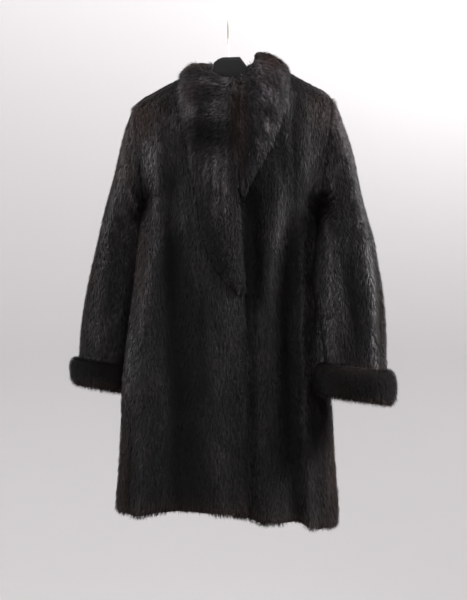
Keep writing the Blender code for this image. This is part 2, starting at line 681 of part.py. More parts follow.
def hook(finish):
    """A wire hook seen edge-on from the front: a straight shank and a bow towards the back."""
    middle = -(HOOK_BOW - HOOK_WIRE)
    path = [(0.0, HOOK_FOOT), (0.0, HOOK_NECK)]
    for k in range(1, HOOK_BEND_STEPS):
        share = k / HOOK_BEND_STEPS
        side = -HOOK_BOW * smooth_step(share)
        path.append((side, between(HOOK_NECK, middle, share)))
    for k in range(HOOK_BOW_STEPS + 1):
        turn = math.pi - math.radians(HOOK_SWEEP) * k / HOOK_BOW_STEPS
        path.append((HOOK_BOW * math.cos(turn), middle + HOOK_BOW * math.sin(turn)))
    curve = bpy.data.curves.new("hanger_hook", "CURVE")
    curve.dimensions = "3D"
    curve.bevel_depth = HOOK_WIRE
    curve.bevel_resolution = 2
    curve.use_fill_caps = True
    spline = curve.splines.new("POLY")
    spline.points.add(len(path) - 1)
    for point, (y, z) in zip(spline.points, path):
        point.co = (0.0, y, z, 1.0)
    curve.materials.append(finish)
    bpy.context.scene.collection.objects.link(bpy.data.objects.new("hanger_hook", curve))


def main():
    clear_scene()
    fur = material("fur", (0.022, 0.018, 0.018), 0.55)
    collar_fur = material("collar_fur", (0.030, 0.021, 0.019), 0.55)
    cuff_fur = material("cuff_fur", (0.016, 0.012, 0.012), 0.65)
    plastic = material("hanger_plastic", (0.012, 0.012, 0.013), 0.35)
    wire = material("hook_wire", (0.62, 0.60, 0.57), 0.30, 1.0)
    panel("back", BACK, COLUMNS_BACK, fur)
    panel("front_right", FRONT, COLUMNS_FRONT, fur)
    panel("front_left", FRONT, COLUMNS_FRONT, fur)
    for side in ("right", "left"):
        sleeve(side, fur)
        cuff(side, cuff_fur)
        collar(side, collar_fur)
    hanger(plastic)
    hook(wire)


main()
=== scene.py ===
"""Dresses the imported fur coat: pelts with combed hair, cuffs, collar, hanger and a pale studio."""

import math
from collections import namedtuple

import bmesh
import bpy
import numpy as np
from bpy.props import FloatProperty, FloatVectorProperty, IntProperty, PointerProperty
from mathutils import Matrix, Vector
from mathutils.bvhtree import BVHTree


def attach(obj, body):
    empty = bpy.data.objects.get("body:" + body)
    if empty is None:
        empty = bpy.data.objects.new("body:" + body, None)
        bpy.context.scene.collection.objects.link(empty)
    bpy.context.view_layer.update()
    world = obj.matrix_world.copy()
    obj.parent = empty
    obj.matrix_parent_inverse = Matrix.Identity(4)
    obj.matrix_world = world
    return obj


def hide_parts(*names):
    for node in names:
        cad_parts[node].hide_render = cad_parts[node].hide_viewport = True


bl_info = {
    "name": "Fur Coat",
    "version": (1, 0, 0),
    "blender": (4, 5, 0),
    "location": "3D View > Sidebar > Fur Coat",
    "description": "A three-quarter fur coat on a hanger, with combed hair, cuffs and a shawl collar",
    "category": "Object",
}

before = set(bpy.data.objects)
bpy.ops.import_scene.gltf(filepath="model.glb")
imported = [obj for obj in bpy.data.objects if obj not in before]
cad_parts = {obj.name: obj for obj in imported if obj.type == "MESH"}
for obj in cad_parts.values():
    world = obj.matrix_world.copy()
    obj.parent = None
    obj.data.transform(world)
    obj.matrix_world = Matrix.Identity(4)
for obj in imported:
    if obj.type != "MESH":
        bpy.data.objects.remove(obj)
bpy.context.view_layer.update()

# ---------------------------------------------------------------- sizes
MERGE = 1e-5  # the CAD's loose triangles are joined at this distance
WALL = 0.010  # thickness of a pelt
PANELS = ("back", "front_right", "front_left")
SEWN = 0.0008  # edges this near to another piece are sewn to it
SHARP = math.radians(35)  # a sewn edge that turns more than this stays sharp
TUBE = 0.012  # a sleeve's face is inside where the next face is further off than this
TWIST = 0.14  # how far the hem has turned, for each metre of width
TWIST_FADE = (-0.500, -0.900)  # the heights between which it turns

NEIGHBOUR = 0.030  # how far hair looks for another piece in front of it
ROOM = 0.012  # with this much room in front of it hair stands and the skin is drawn in fully
THIN, COLLAR_THIN = 0.006, 0.002  # hair grows fully where there is this much room for it
SEAM_REACH = 0.012  # the skin isn't drawn in this near to another piece
INNER_PRESS = 0.35  # how much of the inset an edge shared with the inside keeps
SHOULDER = -0.300  # above this height the hair beside a seam is short and flat
SHOULDER_RISE = 0.080  # this far above it hair is combed fully away from the seam
ELBOW = -0.500  # above this height a sleeve's hair is combed more outwards
FRONT_EDGE = 0.016  # beyond this the right collar's hair is combed over its front edge
LOWEST_RIM = {"back": -1.05, "fron": -1.05, "cuff": -0.70}  # lower edges lie below these heights
HEM_COLUMN = 0.020  # a lower edge's height is noted at this step across its width
HEM_HAIR = 0.045  # hair this near to the hem is shorter and browner
HEM_SHORT, HEM_STAND, HEM_BROWN = 0.20, 2.4, 0.60  # how much shorter, more upright and browner
CUFF_FRINGE = 0.015  # hair this near to a cuff's lower edge is longer and stands off
CUFF_LONG, CUFF_STAND = 0.80, 1.0  # how much longer and more upright
LAPEL_FADE = (-0.330, -0.420)  # below these heights a lapel's hair takes on the body's lay
LAPEL_STRAIGHT, LAPEL_DARKER = 0.60, 0.50  # how much straighter and darker it is there
FOOT_FADE = (-0.360, -0.500)  # and here its hair grows short towards its foot
FOOT_SHORT = 0.30
FOOT_PRESS = 1.9  # the right lapel's foot is drawn in this many times as deep
CREASE_FADE = 0.050  # length over which a crease begins and ends

GROWTH = ("hair", "lift", "size", "wavy", "warm")  # what a pelt tells its hair
OUTER, RIM, INNER = 0, 1, 2  # faces of a pelt: the hair side, its cut edges, and the inside
LOCK_PARTS = 2  # triangles in one lock of hair
LOCK_MIDDLE, LOCK_BOW = 0.42, 0.10  # where a lock of length 1 is broadest, and its bow there
LOCK_ROLL = 24.0  # degrees that a lock may turn about its length
SHADE_STRENGTH = 3.0  # how many times lighter the painted highlight makes the hair where a crease's tone is 1
SHADE_MIDDLE = 0.088  # lightness of hair that no painted highlight or shade touches
SHADE_RANGE = (-1.8, 2.8)  # the darkest painted shade and the lightest painted highlight where creases and spots meet

# A pelt's hair: how many locks, their length and width, how far they stand off the skin, how
# wavy they lie, and how deep the skin lies below the hair's surface.
Coat = namedtuple("Coat", "locks length width lift wave inset")
HAIR = {
    "back": Coat(90000, 0.017, 0.0013, 15, 0.26, 0.0034),
    "front_right": Coat(78000, 0.015, 0.0010, 17, 0.28, 0.0034),
    "front_left": Coat(70000, 0.015, 0.0010, 17, 0.28, 0.0034),
    "sleeve_right": Coat(57000, 0.015, 0.0011, 19, 0.30, 0.0034),
    "sleeve_left": Coat(59000, 0.015, 0.0011, 19, 0.34, 0.0034),
    "cuff_right": Coat(19000, 0.009, 0.0008, 38, 0.25, 0.0050),
    "cuff_left": Coat(19000, 0.009, 0.0008, 38, 0.25, 0.0050),
    "collar_right": Coat(38000, 0.015, 0.0010, 24, 0.62, 0.0045),
    "collar_left": Coat(30000, 0.015, 0.0010, 26, 0.62, 0.0045),
}

# Soft troughs and ridges of the hair side, seen from the front (x, z): from top to foot, half
# the width, how far they stand out, and the tone: painted highlight on the ridges and painted shade in the
# troughs, as lighter or darker hair.
Crease = namedtuple("Crease", "top_x top_z foot_x foot_z half out tone")
FRONT_CREASES = (
    Crease(-0.155, -0.250, -0.150, -0.500, 0.011, 0.0030, 0.90),
    Crease(-0.158, -0.540, -0.190, -0.700, 0.013, 0.0030, 0.90),
    Crease(-0.190, -0.740, -0.186, -1.110, 0.030, 0.0020, 0.40),
    Crease(-0.179, -0.480, -0.183, -0.620, 0.005, -0.0020, -0.50),
    Crease(-0.216, -0.640, -0.214, -0.840, 0.012, 0.0020, 0.90),
    Crease(-0.210, -0.860, -0.212, -1.110, 0.005, -0.0030, -0.60),
    Crease(-0.126, -0.400, -0.120, -0.620, 0.010, -0.0035, -0.75),
    Crease(-0.110, -0.380, -0.112, -0.460, 0.008, -0.0020, -0.40),
    Crease(-0.098, -0.400, -0.092, -0.520, 0.008, 0.0020, 0.35),
    Crease(-0.104, -0.520, -0.094, -0.840, 0.034, -0.0050, -1.50),
    Crease(-0.092, -0.860, -0.080, -1.110, 0.038, -0.0040, -1.00),
    Crease(-0.096, -0.880, -0.092, -1.110, 0.007, 0.0015, 0.40),
    Crease(-0.056, -0.640, -0.056, -0.820, 0.010, -0.0020, -0.55),
    Crease(-0.014, -0.620, 0.010, -0.800, 0.022, 0.0025, 0.35),
    Crease(-0.020, -0.980, -0.004, -1.110, 0.026, 0.0015, 0.30),
    Crease(0.038, -0.640, 0.045, -1.110, 0.006, -0.0020, -0.70),
    Crease(0.062, -0.300, 0.056, -0.420, 0.018, -0.0020, -0.50),
    Crease(0.052, -0.430, 0.054, -0.620, 0.019, -0.0040, -0.50),
    Crease(0.110, -0.400, 0.092, -0.580, 0.012, 0.0030, 0.60),
    Crease(0.068, -0.620, 0.070, -1.110, 0.013, 0.0030, 0.60),
    Crease(0.138, -0.480, 0.132, -0.760, 0.014, -0.0050, -0.50),
    Crease(0.134, -0.790, 0.146, -1.110, 0.013, -0.0050, -0.60),
    Crease(0.161, -0.540, 0.164, -0.900, 0.006, 0.0030, 0.90),
    Crease(0.172, -0.900, 0.182, -1.110, 0.011, 0.0025, 0.45),
    Crease(0.184, -0.460, 0.188, -0.800, 0.011, -0.0010, 1.30),
    Crease(0.206, -0.880, 0.208, -1.110, 0.007, -0.0025, -0.50),
    Crease(0.128, -0.190, 0.126, -0.360, 0.008, 0.0020, 0.50),
    Crease(0.145, -0.200, 0.143, -0.400, 0.006, -0.0020, -0.50),
    Crease(0.170, -0.220, 0.172, -0.440, 0.009, 0.0015, 0.30),
)
BACK_CREASES = (
    Crease(-0.176, -0.300, -0.206, -1.100, 0.014, -0.0030, -0.70),
    Crease(-0.140, -0.280, -0.178, -1.110, 0.022, 0.0020, 0.60),
    Crease(-0.092, -0.380, -0.120, -1.110, 0.018, -0.0040, -0.95),
    Crease(-0.040, -0.300, -0.058, -0.860, 0.020, 0.0025, 0.65),
    Crease(-0.066, -0.900, -0.070, -1.110, 0.026, 0.0015, 0.30),
    Crease(0.012, -0.260, 0.006, -1.110, 0.013, -0.0040, -0.90),
    Crease(0.060, -0.300, 0.068, -0.980, 0.022, 0.0025, 0.55),
    Crease(0.112, -0.400, 0.130, -1.110, 0.016, -0.0040, -1.00),
    Crease(0.152, -0.320, 0.182, -1.110, 0.018, 0.0025, 0.60),
    Crease(0.186, -0.460, 0.214, -1.110, 0.009, -0.0025, -0.60),
)
SLEEVE_CREASES = {
    "sleeve_right": (
        Crease(-0.190, -0.220, -0.188, -0.380, 0.010, 0.0020, 0.50),
        Crease(-0.214, -0.398, -0.197, -0.426, 0.005, 0.0030, 1.30),
        Crease(-0.206, -0.432, -0.190, -0.452, 0.005, 0.0030, 1.20),
        Crease(-0.188, -0.450, -0.196, -0.580, 0.008, 0.0025, 1.00),
        Crease(-0.210, -0.460, -0.226, -0.700, 0.010, -0.0025, -0.50),
        Crease(-0.262, -0.420, -0.286, -0.700, 0.018, 0.0015, 0.30),
        Crease(-0.300, -0.500, -0.318, -0.760, 0.012, -0.0010, -0.30),
        Crease(-0.244, -0.660, -0.290, -0.740, 0.012, 0.0020, 0.40),
    ),
    "sleeve_left": (
        Crease(0.226, -0.195, 0.262, -0.330, 0.012, 0.0025, 0.80),
        Crease(0.262, -0.330, 0.300, -0.540, 0.012, 0.0025, 0.70),
        Crease(0.304, -0.540, 0.314, -0.790, 0.009, 0.0025, 1.40),
        Crease(0.322, -0.540, 0.329, -0.790, 0.006, -0.0020, -0.60),
        Crease(0.214, -0.480, 0.223, -0.740, 0.011, 0.0030, 1.20),
        Crease(0.238, -0.400, 0.246, -0.620, 0.007, -0.0020, -0.40),
        Crease(0.260, -0.560, 0.268, -0.790, 0.018, -0.0030, -1.30),
        Crease(0.246, -0.260, 0.262, -0.460, 0.009, -0.0020, -0.40),
    ),
}

# Soft spots (x, z): the middle, half the width and height, and how strongly each shows.
Spot = namedtuple("Spot", "x z half_x half_z amount")
LIGHT_AND_SHADE_SPOTS = {  # painted highlights and painted shade on a piece, as lighter or darker hair
    "collar_right": (
        # Painted shadow in the two hollows under the collar's rolled edge; the lighter spots are painted
        # highlights.
        Spot(-0.018, -0.282, 0.046, 0.030, -1.80),
        Spot(-0.012, -0.196, 0.022, 0.010, -1.00),
        Spot(-0.046, -0.168, 0.032, 0.010, 1.30),
        Spot(-0.078, -0.226, 0.016, 0.014, 1.40),
        Spot(-0.046, -0.236, 0.030, 0.012, 0.90),
        Spot(-0.028, -0.395, 0.011, 0.070, 2.20),
        Spot(-0.048, -0.380, 0.006, 0.055, 1.50),
        Spot(-0.006, -0.410, 0.006, 0.055, 1.60),
        Spot(-0.098, -0.190, 0.014, 0.060, 1.20),
        Spot(-0.080, -0.310, 0.008, 0.060, 0.80),
        Spot(0.022, -0.250, 0.008, 0.090, 1.90),
    ),
    "collar_left": (
        # Painted highlights where the collar's hair catches the light; the last two spots are painted shade.
        Spot(0.085, -0.180, 0.060, 0.110, 0.50),
        Spot(0.090, -0.198, 0.020, 0.024, 2.30),
        Spot(0.076, -0.158, 0.012, 0.026, 1.50),
        Spot(0.104, -0.232, 0.010, 0.020, 1.00),
        Spot(0.086, -0.264, 0.009, 0.014, 2.30),
        Spot(0.064, -0.298, 0.006, 0.012, 1.60),
        Spot(0.027, -0.215, 0.006, 0.080, 1.60),
        Spot(0.070, -0.130, 0.026, 0.016, 0.90),
        Spot(0.118, -0.150, 0.014, 0.024, 0.90),
        Spot(0.052, -0.310, 0.020, 0.050, -0.70),
        Spot(0.044, -0.200, 0.010, 0.040, -0.50),
    ),
    "front_left": (
        Spot(0.092, -0.340, 0.034, 0.110, -0.80),
        Spot(0.153, -0.300, 0.020, 0.060, -0.50),
        Spot(0.160, -0.200, 0.060, 0.060, 0.30),
        Spot(0.215, -0.195, 0.020, 0.030, 0.90),
        # Painted light that lifts the shade between the sleeve and the body.
        Spot(0.202, -0.380, 0.024, 0.055, 1.30),
        Spot(0.090, -0.950, 0.150, 0.260, -0.25),
    ),
    "front_right": (
        Spot(-0.165, -0.270, 0.060, 0.120, 1.00),
        Spot(-0.177, -0.350, 0.020, 0.060, 0.70),
        Spot(-0.118, -0.240, 0.010, 0.060, 0.60),
        Spot(-0.060, -0.950, 0.170, 0.260, -0.35),
    ),
    "sleeve_left": (
        Spot(0.250, -0.260, 0.022, 0.090, 1.50),
        # Painted light that lifts the shade between the sleeve and the body.
        Spot(0.215, -0.380, 0.024, 0.055, 1.50),
        Spot(0.284, -0.430, 0.018, 0.110, 0.80),
        Spot(0.225, -0.600, 0.050, 0.120, 0.40),
    ),
    "sleeve_right": (
        Spot(-0.295, -0.690, 0.030, 0.020, 0.55),
        Spot(-0.215, -0.280, 0.040, 0.090, 1.00),
        # Painted light that lifts the shade between the sleeve and the body.
        Spot(-0.222, -0.425, 0.028, 0.070, 1.40),
        Spot(-0.250, -0.520, 0.040, 0.140, 0.55),
    ),
    "cuff_left": (Spot(0.290, -0.815, 0.070, 0.024, -1.00),),
    "cuff_right": (Spot(-0.270, -0.790, 0.060, 0.020, -0.40),),
}
TINTS = (  # where hair of any piece shows its brown tips most
    Spot(-0.205, -0.225, 0.060, 0.070, 0.75),
    Spot(-0.240, -0.330, 0.050, 0.070, 0.45),
    Spot(-0.190, -0.560, 0.020, 0.090, 0.45),
    Spot(-0.320, -0.560, 0.040, 0.120, 0.30),
    Spot(0.230, -0.215, 0.060, 0.060, 0.45),
    Spot(0.350, -0.640, 0.030, 0.140, 0.40),
    Spot(0.082, -0.105, 0.036, 0.030, 0.95),
    Spot(0.022, -0.230, 0.012, 0.090, 0.90),
    Spot(-0.075, -0.115, 0.040, 0.022, 0.60),
    Spot(-0.080, -0.180, 0.030, 0.030, 0.35),
    Spot(-0.245, -1.000, 0.030, 0.160, 0.60),
    Spot(0.240, -1.000, 0.030, 0.160, 0.60),
    Spot(0.285, -0.852, 0.100, 0.012, 0.60),
    Spot(0.290, -0.776, 0.100, 0.010, 0.50),
    Spot(-0.290, -0.820, 0.080, 0.012, 0.50),
)
ARMPIT = Spot(0.205, -0.410, 0.020, 0.035, 1.0)  # on both sides
ARMPIT_LONG, ARMPIT_STAND = 0.50, 3.0  # how much longer and more upright the hair in it is

# A record for the cut of a piece laid flat: width, length, flat area, held and rests_on; no piece here is
# given one.
Cut = namedtuple("Cut", "width length area held rests_on")


class HairSizes(bpy.types.PropertyGroup):
    length: FloatProperty(
        name="Hair length", description="Length against its usual length", default=1.0, min=0.3, max=1.5
    )
    width: FloatProperty(
        name="Lock width", description="Width against its usual width", default=1.0, min=0.3, max=2.0
    )
    thickness: FloatProperty(
        name="Hair amount", description="Share of the locks that are grown", default=1.0, min=0.05, max=1.0,
        subtype="FACTOR",
    )  # fmt: skip
    # The ends of the hair's colour: the dark end is the hair's near-black together with the painted shade of
    # the folds, the light end the painted highlight of hair that catches the light.
    dark: FloatVectorProperty(
        name="Dark hair", description="Hair in the folds", default=(0.0032, 0.0027, 0.0028), subtype="COLOR"
    )
    light: FloatVectorProperty(
        name="Light hair", description="Hair that catches the light", default=(0.124, 0.109, 0.117),
        subtype="COLOR",
    )  # fmt: skip
    brown: FloatVectorProperty(
        name="Brown tips", description="Tips at the rims", default=(0.070, 0.032, 0.022), subtype="COLOR"
    )
    skin: FloatVectorProperty(
        name="Underfur", description="The dense underfur", default=(0.0030, 0.0024, 0.0025), subtype="COLOR"
    )
    lining: FloatVectorProperty(
        name="Inside", description="The cloth inside", default=(0.012, 0.009, 0.009), subtype="COLOR"
    )
    seed: IntProperty(name="Growth", description="Another number lays the hair another way", default=7, min=0)


class HangerSizes(bpy.types.PropertyGroup):
    plastic: FloatVectorProperty(
        name="Plastic", description="Moulded plastic", default=(0.0055, 0.0053, 0.0055), subtype="COLOR"
    )
    wire: FloatVectorProperty(
        name="Wire", description="The hook's wire", default=(0.86, 0.83, 0.74), subtype="COLOR"
    )


class StudioSizes(bpy.types.PropertyGroup):
    distance: FloatProperty(
        name="Camera distance", description="From the coat to the camera", default=3.2, unit="LENGTH"
    )
    floor: FloatProperty(name="Floor", description="Height of the floor", default=-1.75, unit="LENGTH")
    key: FloatProperty(name="Key light", description="At the left sleeve", default=34.0, unit="POWER")
    side: FloatProperty(name="Side light", description="At the right sleeve", default=13.0, unit="POWER")
    fill: FloatProperty(name="Front light", description="Soft light in front", default=44.0, unit="POWER")
    wall: FloatProperty(name="Wall light", description="On the right of the wall", default=46.0, unit="POWER")
    wall_left: FloatProperty(
        name="Left wall light", description="On the left of the wall", default=30.0, unit="POWER"
    )
    ambient: FloatProperty(name="Ambient light", description="Light from all round", default=0.35, min=0.0)
    paper: FloatVectorProperty(
        name="Backdrop", description="The paper", default=(0.650, 0.629, 0.632), subtype="COLOR"
    )


# ---------------------------------------------------------------- shader nodes
def wire_in(tree, target, value):
    """Links a socket to a node's output, or gives it a constant."""
    if isinstance(value, bpy.types.NodeSocket):
        tree.links.new(value, target)
    else:
        target.default_value = value


def put(tree, kind, *values, **settings):
    """A new node with its first sockets filled by values or links."""
    node = tree.nodes.new(kind)
    for name, value in settings.items():
        setattr(node, name, value)
    sockets = [socket for socket in node.inputs if socket.enabled]
    for socket, value in zip(sockets, values):
        wire_in(tree, socket, value)
    return node


def filled(tree, node, **values):
    """A node with sockets filled by name, where an underscore stands for a space."""
    for label, value in values.items():
        wire_in(tree, node.inputs[label.replace("_", " ")], value)
    return node


def out(node):
    """The first output that a node's settings leave in use."""
    return next(socket for socket in node.outputs if socket.enabled)


def maths(tree, operation, *values, clamp=False):
    return out(put(tree, "ShaderNodeMath", *values, operation=operation, use_clamp=clamp))


def mixed(tree, share, first, second):
    """One colour laid over another."""
    node = put(tree, "ShaderNodeMix", share, data_type="RGBA")
    for socket, value in zip(node.inputs[6:8], (first, second)):
        wire_in(tree, socket, value if isinstance(value, bpy.types.NodeSocket) else (*value, 1.0))
    return node.outputs[2]


def ranged(tree, value, low, high, new_low, new_high):
    return out(put(tree, "ShaderNodeMapRange", value, low, high, new_low, new_high))


def lighter(colour, factor):
    return tuple(factor * part for part in colour)


def on_object(tree):
    return put(tree, "ShaderNodeTexCoord").outputs["Object"]


def stretched_noise(tree, coordinates, stretch, size, detail=3.0, roughness=0.55):
    """Noise in metres: features of the given size, stretched by the given factors."""
    mapping = put(tree, "ShaderNodeMapping", coordinates)
    mapping.inputs["Scale"].default_value = [1 / (size * factor) for factor in stretch]
    pattern = tree.nodes.new("ShaderNodeTexNoise")
    filled(tree, pattern, Vector=mapping.outputs[0], Scale=1.0, Detail=detail, Roughness=roughness)
    return pattern.outputs[0]


def raised(tree, shader, height, strength, distance):
    """Raises a pattern on a surface."""
    bump = tree.nodes.new("ShaderNodeBump")
    filled(tree, bump, Strength=strength, Distance=distance, Height=height)
    filled(tree, shader, Normal=bump.outputs[0])


def pelt_tones():
    """Let-out skins side by side, streaks of hair, and patches where it lies another way."""
    name = "pelt_tones"
    if name in bpy.data.node_groups:
        return bpy.data.node_groups[name]
    group = bpy.data.node_groups.new(name, "ShaderNodeTree")
    group.interface.new_socket("Coordinates", in_out="INPUT", socket_type="NodeSocketVector")
    width = group.interface.new_socket("Skin width", in_out="INPUT", socket_type="NodeSocketFloat")
    width.default_value = 0.055
    for label in ("Skins", "Streaks", "Patches", "Clumps"):
        group.interface.new_socket(label, in_out="OUTPUT", socket_type="NodeSocketFloat")
    given, result = group.nodes.new("NodeGroupInput"), group.nodes.new("NodeGroupOutput")
    place = given.outputs["Coordinates"]
    parts = put(group, "ShaderNodeSeparateXYZ", place)
    sway = stretched_noise(group, place, (1, 1, 3), 0.10, 1.0)
    across = maths(group, "ADD", parts.outputs[0], maths(group, "MULTIPLY", sway, 0.03))
    turns = maths(group, "DIVIDE", across, given.outputs["Skin width"])
    wave = maths(group, "COSINE", maths(group, "MULTIPLY", turns, 2 * math.pi))
    filled(
        group,
        result,
        Skins=maths(group, "MULTIPLY_ADD", wave, 0.5, 0.5),
        Streaks=stretched_noise(group, place, (1, 1, 7), 0.0035, 4.0, 0.65),
        Patches=stretched_noise(group, place, (1, 1, 2.2), 0.040, 3.0),
        Clumps=stretched_noise(group, place, (1, 1, 3.5), 0.006, 3.0),
    )
    return group


def tones_in(tree):
    node = put(tree, "ShaderNodeGroup", node_tree=pelt_tones())
    return filled(tree, node, Coordinates=on_object(tree))


def attribute(tree, name):
    return put(tree, "ShaderNodeAttribute", attribute_name=name).outputs["Fac"]


def new_material(name, roughness, specular, **constants):
    made = bpy.data.materials.new(name)
    made.use_nodes = True
    tree = made.node_tree
    shader = tree.nodes["Principled BSDF"]
    filled(tree, shader, Roughness=roughness, Specular_IOR_Level=specular, **constants)
    return made, tree, shader


def hair_material(name, sizes, lightness=1.0, specular=0.16, contrast=1.2):
    """Guard hair: near black at the root, lighter or darker by the painted highlights and painted shade of
    its creases and spots, brown at some tips.
    """
    made, tree, shader = new_material(name, 0.50, specular)
    tones = tones_in(tree)
    tone, along, shade, warm = (attribute(tree, label) for label in ("tone", "along", "shade", "warm"))
    level = maths(tree, "MULTIPLY_ADD", maths(tree, "POWER", tone, 3.0), 1.10, 0.35)
    for label, low, high in (("Patches", 0.36, 0.64), ("Clumps", 0.34, 0.66)):
        change = ranged(tree, tones.outputs[label], low, high, 1 - 0.45 * contrast, 1 + 0.55 * contrast)
        level = maths(tree, "MULTIPLY", level, change)
    level = maths(tree, "MULTIPLY", level, ranged(tree, tones.outputs["Skins"], 0.0, 1.0, 0.90, 1.10))
    # Painted light and shade: the shade attribute makes the hair lighter on lit ridges and darker in shaded
    # troughs.
    level = maths(tree, "MULTIPLY", level, maths(tree, "POWER", SHADE_STRENGTH, shade))
    level = maths(tree, "MULTIPLY", level, maths(tree, "MULTIPLY_ADD", along, 0.5, 0.5))
    level = maths(tree, "MULTIPLY", level, SHADE_MIDDLE * lightness, clamp=True)
    colour = mixed(tree, level, sizes.dark, sizes.light)
    tips = maths(tree, "MULTIPLY", warm, along)
    tips = maths(tree, "MULTIPLY", tips, maths(tree, "MULTIPLY_ADD", tone, 0.8, 0.2), clamp=True)
    colour = mixed(tree, tips, colour, sizes.brown)
    filled(tree, shader, Base_Color=colour, Roughness=ranged(tree, shade, -1.0, 1.2, 0.80, 0.36))
    return made


def underfur_material(name, sizes):
    """The dense underfur between the guard hairs: streaked, dull and nearly black."""
    made, tree, shader = new_material(name, 0.85, 0.20)
    pattern = tones_in(tree).outputs["Streaks"]
    streaks = ranged(tree, pattern, 0.35, 0.70, 0.0, 1.0)
    filled(tree, shader, Base_Color=mixed(tree, streaks, sizes.skin, lighter(sizes.skin, 4)))
    raised(tree, shader, pattern, 0.9, 0.002)
    return made


def inside_material(name, sizes):
    """The plain dark cloth inside, with a fine twill."""
    made, tree, shader = new_material(name, 0.45, 0.35, Sheen_Weight=0.15)
    place = on_object(tree)
    turned = put(tree, "ShaderNodeMapping", place)
    turned.inputs["Rotation"].default_value = (0.0, math.radians(45), 0.0)
    twill = put(tree, "ShaderNodeTexWave", turned.outputs[0], 900.0)
    worn = stretched_noise(tree, place, (1, 1, 2), 0.06)
    colour = mixed(tree, worn, sizes.lining, lighter(sizes.lining, 1.9))
    filled(tree, shader, Base_Color=colour, Roughness=ranged(tree, worn, 0.3, 0.7, 0.38, 0.55))
    raised(tree, shader, twill.outputs["Fac"], 0.25, 0.0004)
    return made


def plastic_material(name, sizes):
    """Moulded plastic with a fine grain and a few dull scuffs."""
    made, tree, shader = new_material(name, 0.45, 0.18)
    place = on_object(tree)
    grain = stretched_noise(tree, place, (1, 1, 1), 0.0011, 4.0)
    scuffs = stretched_noise(tree, place, (6, 1, 1), 0.012, 5.0, 0.7)
    worn = ranged(tree, scuffs, 0.56, 0.70, 0.0, 1.0)
    colour = mixed(tree, worn, sizes.plastic, lighter(sizes.plastic, 2.4))
    filled(tree, shader, Base_Color=colour, Roughness=ranged(tree, worn, 0.0, 1.0, 0.45, 0.62))
    raised(tree, shader, grain, 0.2, 0.0003)
    return made


def wire_material(name, sizes):
    """Drawn wire with faint lines along it and dull spots."""
    made, tree, shader = new_material(name, 0.5, 0.5, Metallic=0.7)
    place = on_object(tree)
    lines = stretched_noise(tree, place, (1, 1, 30), 0.0006, 3.0)
    dull = stretched_noise(tree, place, (1, 1, 1), 0.008, 4.0, 0.6)
    spots = ranged(tree, dull, 0.54, 0.70, 0.0, 0.7)
    colour = mixed(tree, spots, sizes.wire, lighter(sizes.wire, 0.50))
    filled(tree, shader, Base_Color=colour, Roughness=ranged(tree, lines, 0.3, 0.7, 0.40, 0.62))
    return made


def paper_material(name, sizes):
    """Backdrop paper with painted shade: a little darker towards the floor."""
    made, tree, shader = new_material(name, 0.9, 0.1)
    place = on_object(tree)
    cloud = stretched_noise(tree, place, (1, 1, 1), 1.4, 1.0)
    height = put(tree, "ShaderNodeSeparateXYZ", place).outputs[2]
    # Painted shade: the paper's colour darkens from the wall down to the floor, with a soft cloud of
    # unevenness.
    share = maths(tree, "MULTIPLY_ADD", cloud, 0.15, ranged(tree, height, -1.6, 0.3, 0.0, 0.9), clamp=True)
    filled(tree, shader, Base_Color=mixed(tree, share, lighter(sizes.paper, 0.84), sizes.paper))
    return made


def material_once(maker, name, *values, **more):
    return bpy.data.materials.get(name) or maker(name, *values, **more)


# ---------------------------------------------------------------- pelts
def new_object(name, mesh, *finishes):
    """An object of its own mesh, whose place is in the mesh."""
    data = bpy.data.meshes.new(name)
    mesh.to_mesh(data)
    mesh.free()
    for finish in finishes:
        data.materials.append(finish)
    made = bpy.data.objects.new(name, data)
    bpy.context.scene.collection.objects.link(made)
    return made


def applied(piece):
    """The piece with its modifiers made part of its mesh."""
    graph = bpy.context.evaluated_depsgraph_get()
    graph.update()
    data = bpy.data.meshes.new_from_object(piece.evaluated_get(graph))
    piece.modifiers.clear()
    old = piece.data
    piece.data = data
    data.name = piece.name
    bpy.data.meshes.remove(old)
    return piece


def way_out(place):
    """The way out of the body at a place, taken as an ellipsoid that is straight below the armpits."""
    x, y, z = place
    share = min(1.0, max(0.0, (TWIST_FADE[0] - z) / (TWIST_FADE[0] - TWIST_FADE[1])))
    y -= TWIST * share * x
    half_width, half_depth, half_height = 0.22, 0.085, 0.26
    return Vector((x / half_width**2, y / half_depth**2, max(0.0, z - ARMPIT.z) / half_height**2))


def side_of(face, node, tree):
    """Whether a face is on the hair side, a cut edge, or the inside."""
    if node.startswith(("cuff", "collar")):
        return OUTER
    centre, normal = face.calc_center_median(), face.normal
    off = normal * 0.0004  # a ray starts this far off its face
    back = tree.ray_cast(centre - off, -normal)
    if back[3] is None or back[3] > 1.7 * WALL:
        return RIM
    if node.startswith("sleeve"):
        ahead = tree.ray_cast(centre + off, normal)
        return INNER if ahead[3] is not None and ahead[3] > TUBE else OUTER
    return OUTER if normal.dot(way_out(centre)) > 0 else INNER


